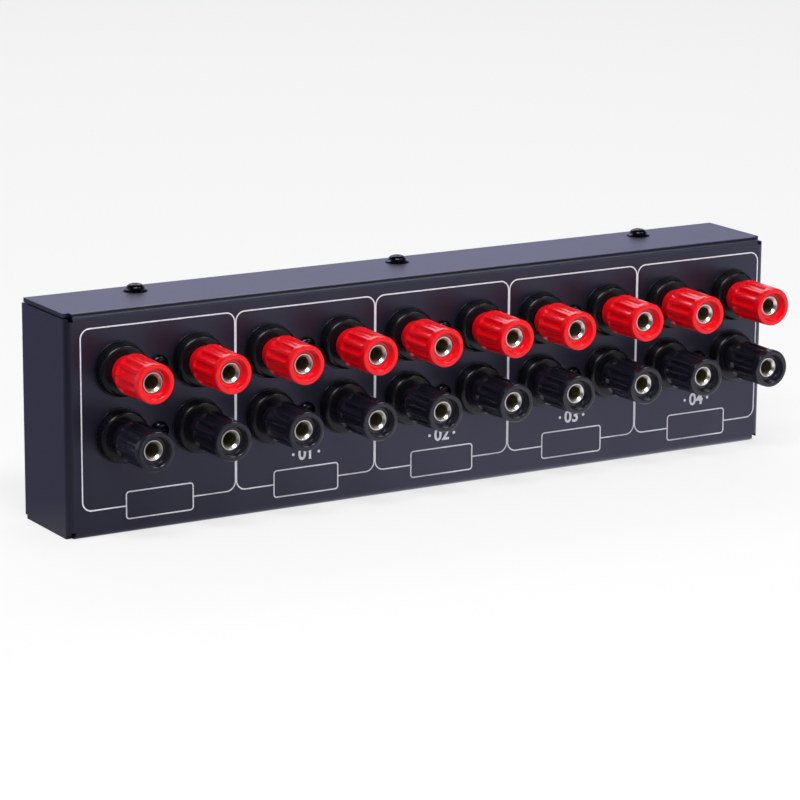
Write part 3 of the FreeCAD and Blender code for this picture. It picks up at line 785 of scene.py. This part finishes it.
def cut_cross(head, front, sizes):
    """A cross recess in a screw's head, narrower towards its bottom."""
    arms = []
    for across, up in ((sizes.recess_arm, sizes.recess_width / 2),
                       (sizes.recess_width / 2, sizes.recess_arm)):
        arm = block("arm", (-across, -front - SPARE, -up),
                    (across, -front + sizes.recess_depth, up))
        with Editing(arm) as edit:
            edit.pick(lambda spot: spot.y > -front)
            bpy.ops.transform.resize(value=(sizes.recess_narrowing, 1, sizes.recess_narrowing),
                                     center_override=(0, 0, 0))
        arms.append(arm)
    for arm in arms:
        combine(head, arm, "DIFFERENCE")


def make_screw_form(name, outline, front, sizes):
    """A turned screw with a cross recess in its head."""
    screw = turned(name, outline, steps=48, closed=False)
    cut_cross(screw, front, sizes)
    round_edges(screw, sizes.edge_round)
    smooth(screw)
    return screw


def domed(start, radius, height, flat=0.35, steps=5):
    """Outline points of a head's side that curves in to a flat, a share of its radius."""
    points = []
    for step in range(steps + 1):
        swing = UPRIGHT * step / steps
        points.append((start + height * math.sin(swing),
                       radius * (flat + (1 - flat) * math.cos(swing))))
    return points


def make_plate_screws(sizes, finish):
    """The pan screws between the posts. The rows and the input group lean differently."""
    side = sizes.head_side
    head = sizes.plate_head_height
    outline = [(PLATE_SCREW_BACK, 0), (PLATE_SCREW_BACK, sizes.shank_radius),
               (0, sizes.shank_radius), (0, sizes.plate_head_radius)]
    outline += domed(side, sizes.plate_head_radius, head - side) + [(head, 0)]
    form = make_screw_form("plate_screw_form", outline, head, sizes)
    for group in GROUPS:
        for row, (row_name, height) in enumerate(zip(("low", "high"), ROW_HEIGHTS)):
            spot = (middle_of("terminal_plate_" + group).x, TERMINAL_FACE, height)
            lean = FIRST_LEAN + LEAN_STEP * (row + (group in ZONES))
            screw = copy_to(form, "pan_screw_%s_%s" % (group, row_name), spot, (0, lean, 0))
            finish_piece(screw, "housing", finish, "black_screws", ["plate_screws"])
    bpy.data.objects.remove(form)


def make_cover_screws(sizes, finish):
    """The flanged screws in the top wall."""
    low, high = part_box("cover_screws")
    foot = low.z - TOP_FACE
    outline = [(foot, 0), (foot, sizes.shank_radius), (0, sizes.shank_radius),
               (0, sizes.cover_flange_radius), (sizes.cover_flange / 2, sizes.cover_flange_radius),
               (sizes.cover_flange, sizes.cover_dome_radius + sizes.head_side / 2)]
    dome_start = sizes.cover_flange + sizes.flange_step
    outline += domed(dome_start, sizes.cover_dome_radius, sizes.cover_head_height - dome_start)
    outline.append((sizes.cover_head_height, 0))
    form = make_screw_form("cover_screw_form", outline, sizes.cover_head_height, sizes)
    reach = (high.x - low.x) / 2 - sizes.cover_flange_radius
    for number, step in enumerate((-1, 0, 1), start=1):
        spot = (reach * step, (low.y + high.y) / 2, TOP_FACE)
        screw = copy_to(form, "flanged_screw_%d" % number, spot, (-UPRIGHT, 0, 0))
        finish_piece(screw, "housing", finish, "black_screws", ["cover_screws"])
    bpy.data.objects.remove(form)


def make_buttons(sizes, colours):
    """The zone buttons: a rounded cap moulded in one with its square plunger."""
    satin = plastic_finish("button_plastic", colours.button, roughness=0.38)
    for zone in ZONES:
        node = "button_" + zone
        low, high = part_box(node)
        spot = middle_of(node)
        cap_back = high.y - sizes.cap_depth
        across = (high.x - low.x) - 2 * sizes.back_border
        up = (high.z - low.z) - 2 * sizes.back_border
        button = block("push_button_" + zone, (low.x, cap_back, low.z), high)
        with Editing(button, "FACE") as edit:
            edit.pick(lambda point: abs(point.y - cap_back) < NEAR)
            bpy.ops.mesh.inset(thickness=sizes.back_border)
            bpy.ops.transform.resize(
                value=(sizes.plunger_side / across, 1, sizes.plunger_side / up),
                center_override=(spot.x, 0, spot.z))
            inward = (0, low.y - cap_back, 0)
            bpy.ops.mesh.extrude_region_move(TRANSFORM_OT_translate={"value": inward})
            edit.pick(lambda point: abs(point.y - high.y) < NEAR)
            bpy.ops.mesh.inset(thickness=sizes.dish_border)
            bpy.ops.transform.translate(value=(0, -sizes.dish_depth, 0))
        round_edges(button, sizes.edge_round, segments=3, sharper_than=50)
        smooth(button)
        finish_piece(button, node, satin, "button_plastic", [node])


# screen print

def rounded_line_box(name, left, bottom, right, top, corner, sizes):
    """A rounded rectangle drawn as one line on the terminal face."""
    line_box = primitive(name, bpy.ops.mesh.primitive_plane_add, size=1,
                         location=((left + right) / 2, TERMINAL_FACE, (bottom + top) / 2),
                         rotation=(UPRIGHT, 0, 0), stretch=(right - left, top - bottom, 1))
    with Editing(line_box) as edit:
        edit.pick_all()
        bpy.ops.mesh.bevel(offset=corner, segments=10, affect="VERTICES")
    with Editing(line_box, "FACE") as edit:
        edit.pick_all()
        bpy.ops.mesh.inset(thickness=sizes.line)
        bpy.ops.mesh.delete(type="FACE")
    return line_box


def lay_ink(piece, thickness):
    """Give flat print its thickness, out of the face that it lies on."""
    with Editing(piece, "FACE") as edit:
        edit.pick_all()
        bpy.ops.mesh.extrude_region_move(TRANSFORM_OT_translate={"value": (0, -thickness, 0)})
        edit.pick_all()
        bpy.ops.mesh.normals_make_consistent(inside=False)


def print_frame(group, left, right, sizes, ink):
    """A group's frame, broken at the bottom by its label box."""
    centre = middle_of("terminal_plate_" + group).x
    outer = rounded_line_box("printed_frame_" + group, left, BLACK_ROW - sizes.frame_drop, right,
                             RED_ROW + sizes.frame_rise, sizes.frame_corner, sizes)
    half = sizes.label_width / 2
    label_bottom = BLACK_ROW - sizes.label_drop - sizes.label_height / 2
    label_top = label_bottom + sizes.label_height
    with Editing(outer, "FACE") as edit:
        for edge in (centre - half, centre + half):
            edit.pick_all()
            bpy.ops.mesh.bisect(plane_co=(edge, TERMINAL_FACE, 0), plane_no=(1, 0, 0))
        edit.pick(lambda spot: abs(spot.x - centre) < half - NEAR
                  and spot.z < label_top)
        bpy.ops.mesh.delete(type="FACE")
    lay_ink(outer, sizes.ink)
    finish_piece(outer, "housing", ink)
    label = rounded_line_box("printed_label_" + group, centre - half, label_bottom,
                             centre + half, label_top, sizes.label_corner, sizes)
    lay_ink(label, sizes.ink)
    finish_piece(label, "housing", ink)


def print_number(name, text, height, spot, facing, sizes, ink):
    """Plain digits on a face; facing is the turn about Z, 0 for the terminal face."""
    bpy.ops.object.select_all(action="DESELECT")
    bpy.ops.object.text_add(location=(0, 0, 0))
    digits = bpy.context.active_object
    digits.name = name
    digits.data.body = text
    digits.data.align_x = "CENTER"
    digits.data.align_y = "CENTER"
    digits.data.size = height / DIGIT_SHARE
    digits.data.offset = height * DIGIT_WEIGHT
    digits.data.extrude = sizes.ink
    pick_only(digits)
    bpy.ops.object.convert(target="MESH")
    digits = bpy.context.active_object
    digits.data.name = name
    low = min(vertex.co.y for vertex in digits.data.vertices)
    high = max(vertex.co.y for vertex in digits.data.vertices)
    digits.location = Vector(spot) - Vector((0, 0, (low + high) / 2))
    digits.rotation_euler = (UPRIGHT, 0, facing)
    bpy.ops.object.transform_apply(location=True, rotation=True, scale=True)
    finish_piece(digits, "housing", ink)


def cell_edges(sizes):
    """Where the frames start and end along X, from the groups' middles and the zones' pitch."""
    middles = [middle_of("terminal_plate_" + group).x for group in GROUPS]
    half_zone = (middles[-1] - middles[-2]) / 2
    starts = [middle - half_zone for middle in middles[1:]]
    first = 2 * middles[0] - starts[0]
    return [first, *starts, middles[-1] + half_zone - sizes.end_trim]


def print_terminal_side(sizes, ink):
    """Frames, bare label boxes, and each zone's plain number between two dots."""
    edges = cell_edges(sizes)
    for group, left, right in zip(GROUPS, edges, edges[1:]):
        print_frame(group, left, right, sizes, ink)
    for number, zone in enumerate(ZONES, start=1):
        centre = middle_of("terminal_plate_" + zone).x
        height = BLACK_ROW - sizes.number_drop
        spot = (centre, TERMINAL_FACE, height)
        print_number("printed_number_" + zone, "%02d" % number, sizes.number_height, spot, 0,
                     sizes, ink)
        dots = [rod("dot", -sizes.ink, sizes.ink, sizes.dot_radius, 20,
                    (centre + sizes.dot_gap * side, height)) for side in (-1, 1)]
        dots = join("printed_dots_" + zone, dots)
        dots.location.y = TERMINAL_FACE
        pick_only(dots)
        bpy.ops.object.transform_apply(location=True, rotation=False, scale=False)
        finish_piece(dots, "housing", ink)


def print_control_side(sizes, ink):
    """A plain number above each button."""
    for number, zone in enumerate(ZONES, start=1):
        spot = middle_of("button_" + zone)
        place = (spot.x, CONTROL_FACE, spot.z + sizes.control_rise)
        print_number("control_number_" + zone, "%d" % number, sizes.control_height, place,
                     math.pi, sizes, ink)


# studio

def make_camera(studio):
    """The photograph's camera, placed and turned in the frame's own axes."""
    yaw, pitch, roll = studio.yaw, studio.pitch, studio.roll
    forward = Vector((math.sin(yaw) * math.cos(pitch), math.cos(yaw) * math.cos(pitch),
                      -math.sin(pitch)))
    level = Vector((math.cos(yaw), -math.sin(yaw), 0))
    rise = level.cross(forward)
    right = math.cos(roll) * level + math.sin(roll) * rise
    up = math.cos(roll) * rise - math.sin(roll) * level
    bpy.ops.object.camera_add()
    camera = bpy.context.active_object
    camera.name = "photo_camera"
    camera.data.sensor_width = SENSOR_WIDTH
    camera.data.lens = studio.lens
    camera.data.clip_start = 0.05
    camera.data.clip_end = 50
    spot = Vector((studio.camera_along, studio.camera_across, BLACK_ROW + studio.camera_rise))
    turn = Matrix((right, up, -forward)).transposed().to_4x4()
    camera.matrix_world = Matrix.Translation(spot) @ turn
    bpy.context.scene.camera = camera


def soft_light(name, spot, target, size, watts):
    """A rectangular soft box that looks at a target."""
    bpy.ops.object.light_add(type="AREA", location=spot)
    light = bpy.context.active_object
    light.name = name
    light.data.shape = "RECTANGLE"
    light.data.size, light.data.size_y = size
    light.data.energy = watts
    light.rotation_euler = (Vector(target) - Vector(spot)).to_track_quat("-Z", "Y").to_euler()


def make_world(studio):
    """A white surround for the camera; reflections see a bright backdrop and a dark ceiling."""
    world = bpy.data.worlds.new("studio_world")
    world.use_nodes = True
    bpy.context.scene.world = world
    tree = NodeTree(world.node_tree)
    direction = tree.node("ShaderNodeTexCoord", output="Generated")
    height = tree.node("ShaderNodeSeparateXYZ", {}, {0: direction}, output="Z")
    away = tree.node("ShaderNodeSeparateXYZ", {}, {0: direction}, output="Y")
    rise = tree.ramp(height, [(0.42, studio.backdrop), (0.62, studio.ceiling)])
    depth = tree.centred_ramp(away * 0.5, [(-0.05, studio.front), (0.2, 1.0)])
    camera = tree.node("ShaderNodeLightPath", output="Is Camera Ray")
    glossy = Wire(tree, camera.socket.node.outputs["Is Glossy Ray"])
    tint = tree.node("ShaderNodeMix", {"data_type": "RGBA"},
                     {0: glossy, 6: (1, 1, 1, 1), 7: (*studio.tint, 1)}, output=2)
    background = world.node_tree.nodes["Background"]
    tree.feed(background.inputs["Color"], tint)
    tree.feed(background.inputs["Strength"],
              camera + glossy * rise * depth + (1 - camera - glossy) * studio.fill)


def floor_finish(studio, tint):
    """Pale floor: near white to the camera, with its shadow kept, and dimmer in reflections."""
    finish = Finish("pale_floor", Roughness=0.7)
    finish.set("Base Color", (*tint, 1))
    along = finish.node("ShaderNodeSeparateXYZ", {}, {0: finish.place}, output="X")
    back = Wire(finish, along.socket.node.outputs["Y"])
    sideways = finish.centred_ramp(along, [(-0.35, studio.floor_left),
                                           (-0.12, studio.floor_middle),
                                           (0.02, studio.floor_right)])
    in_front = finish.centred_ramp(back, [(-0.5, 0.5), (-0.1, 1.0), (0, 1.0), (0.03, 0)])
    behind = finish.centred_ramp(back, [(0, 0), (0.03, 1.0)])
    camera = finish.node("ShaderNodeLightPath", output="Is Camera Ray")
    glossy = Wire(finish, camera.socket.node.outputs["Is Glossy Ray"])
    cast = finish.shades(studio.floor_tint, studio.tint, behind)
    level = in_front * sideways + behind * studio.floor_back
    reflected = finish.node("ShaderNodeMix", {"data_type": "RGBA", "blend_type": "MULTIPLY"},
                            {0: 1.0, 6: cast, 7: level}, output=2)
    white = finish.node("ShaderNodeEmission", {}, {"Color": (1, 1, 1, 1)})
    mirrored = finish.node("ShaderNodeEmission", {}, {"Color": reflected,
                                                      "Strength": studio.floor_gain})
    lit = Wire(finish, finish.shader.outputs["BSDF"])
    seen = finish.node("ShaderNodeMixShader", {}, {0: camera * studio.floor_seen, 1: lit, 2: white})
    whole = finish.node("ShaderNodeMixShader", {}, {0: glossy, 1: seen, 2: mirrored})
    finish.feed(finish.tree.nodes["Material Output"].inputs["Surface"], whole)
    return finish.material


def make_studio(studio, colours):
    """Camera, floor, surround and soft boxes."""
    scene = bpy.context.scene
    scene.view_settings.view_transform = "Standard"
    make_camera(studio)
    make_world(studio)
    floor = primitive("floor", bpy.ops.mesh.primitive_plane_add, size=FLOOR_SIDE)
    floor.data.materials.append(floor_finish(studio, colours.floor))
    for name, spot, target_height, size, watts in SOFT_BOXES:
        soft_light(name, spot, (0, 0, target_height), size, watts)


# operators

class SELECTOR_OT_studio(bpy.types.Operator):
    """Set up the camera, the pale floor and the soft light"""

    bl_idname = "selector.studio"
    bl_label = "Studio"

    def execute(self, context):
        make_studio(context.scene.selector_studio, context.scene.selector_colours)
        return {"FINISHED"}


class SELECTOR_OT_sheet_metal(bpy.types.Operator):
    """Paint the tray and the control panel, and finish what is inside them"""

    bl_idname = "selector.sheet_metal"
    bl_label = "Sheet metal and inside"

    def execute(self, context):
        colours = context.scene.selector_colours
        paint = paint_finish(colours.paint)
        for node in ("housing", "control_panel"):
            paint_node(node, paint)
        paint_node("circuit_board", board_finish(colours.board))
        case = plastic_finish("switch_case_plastic", colours.case, roughness=0.45)
        paint_node("switch_bodies", case)
        paint_node("stud_nuts", metal_finish("plated_zinc", colours.zinc, roughness=0.24))
        return {"FINISHED"}


class SELECTOR_OT_terminal_plates(bpy.types.Operator):
    """Mould the terminal plates with their collars"""

    bl_idname = "selector.terminal_plates"
    bl_label = "Terminal plates"

    def execute(self, context):
        scene = context.scene
        make_terminal_plates(scene.selector_posts, scene.selector_screws, scene.selector_colours)
        return {"FINISHED"}


class SELECTOR_OT_studs(bpy.types.Operator):
    """Turn the studs with their banana sockets"""

    bl_idname = "selector.studs"
    bl_label = "Studs"

    def execute(self, context):
        make_studs(context.scene.selector_posts, context.scene.selector_colours)
        return {"FINISHED"}


class SELECTOR_OT_knobs(bpy.types.Operator):
    """Mould the fluted knobs, and finish the inserts in them"""

    bl_idname = "selector.knobs"
    bl_label = "Knobs"

    def execute(self, context):
        make_knobs(context.scene.selector_posts, context.scene.selector_colours)
        return {"FINISHED"}


class SELECTOR_OT_screws(bpy.types.Operator):
    """Make the cross-recess screws"""

    bl_idname = "selector.screws"
    bl_label = "Screws"

    def execute(self, context):
        sizes = context.scene.selector_screws
        finish = metal_finish("black_zinc", context.scene.selector_colours.screw, roughness=0.16)
        make_plate_screws(sizes, finish)
        make_cover_screws(sizes, finish)
        return {"FINISHED"}


class SELECTOR_OT_buttons(bpy.types.Operator):
    """Mould the zone buttons"""

    bl_idname = "selector.buttons"
    bl_label = "Buttons"

    def execute(self, context):
        make_buttons(context.scene.selector_buttons, context.scene.selector_colours)
        return {"FINISHED"}


class SELECTOR_OT_print(bpy.types.Operator):
    """Print the frames, the label boxes and the plain numbers"""

    bl_idname = "selector.screen_print"
    bl_label = "Screen print"

    def execute(self, context):
        ink = ink_finish(context.scene.selector_colours.ink)
        print_terminal_side(context.scene.selector_print, ink)
        print_control_side(context.scene.selector_print, ink)
        return {"FINISHED"}


class SELECTOR_PT_parts(bpy.types.Panel):
    """The steps that build the selector switch"""

    bl_idname = "SELECTOR_PT_parts"
    bl_label = "Speaker selector switch"
    bl_space_type = "VIEW_3D"
    bl_region_type = "UI"
    bl_category = "Selector"

    def draw(self, context):
        for operator in OPERATORS:
            self.layout.operator(operator.bl_idname)
        for name in SETTINGS:
            box = self.layout.box()
            settings = getattr(context.scene, name)
            for setting in settings.bl_rna.properties:
                if setting.identifier not in ("rna_type", "name"):
                    box.prop(settings, setting.identifier)


SETTINGS = {"selector_posts": PostSizes, "selector_screws": ScrewSizes,
            "selector_buttons": ButtonSizes, "selector_print": PrintSizes,
            "selector_colours": FinishColours, "selector_studio": StudioSettings}
OPERATORS = [SELECTOR_OT_studio, SELECTOR_OT_sheet_metal, SELECTOR_OT_terminal_plates,
             SELECTOR_OT_studs, SELECTOR_OT_knobs, SELECTOR_OT_screws, SELECTOR_OT_buttons,
             SELECTOR_OT_print]
CLASSES = [*SETTINGS.values(), *OPERATORS, SELECTOR_PT_parts]


def register():
    for item in CLASSES:
        bpy.utils.register_class(item)
    for name, settings in SETTINGS.items():
        setattr(bpy.types.Scene, name, PointerProperty(type=settings))


def unregister():
    for name in SETTINGS:
        delattr(bpy.types.Scene, name)
    for item in reversed(CLASSES):
        bpy.utils.unregister_class(item)


def main():
    register()
    bpy.ops.selector.studio()
    bpy.ops.selector.sheet_metal()
    bpy.ops.selector.terminal_plates()
    bpy.ops.selector.studs()
    bpy.ops.selector.knobs()
    bpy.ops.selector.screws()
    bpy.ops.selector.buttons()
    bpy.ops.selector.screen_print()


if __name__ == "__main__":
    main()
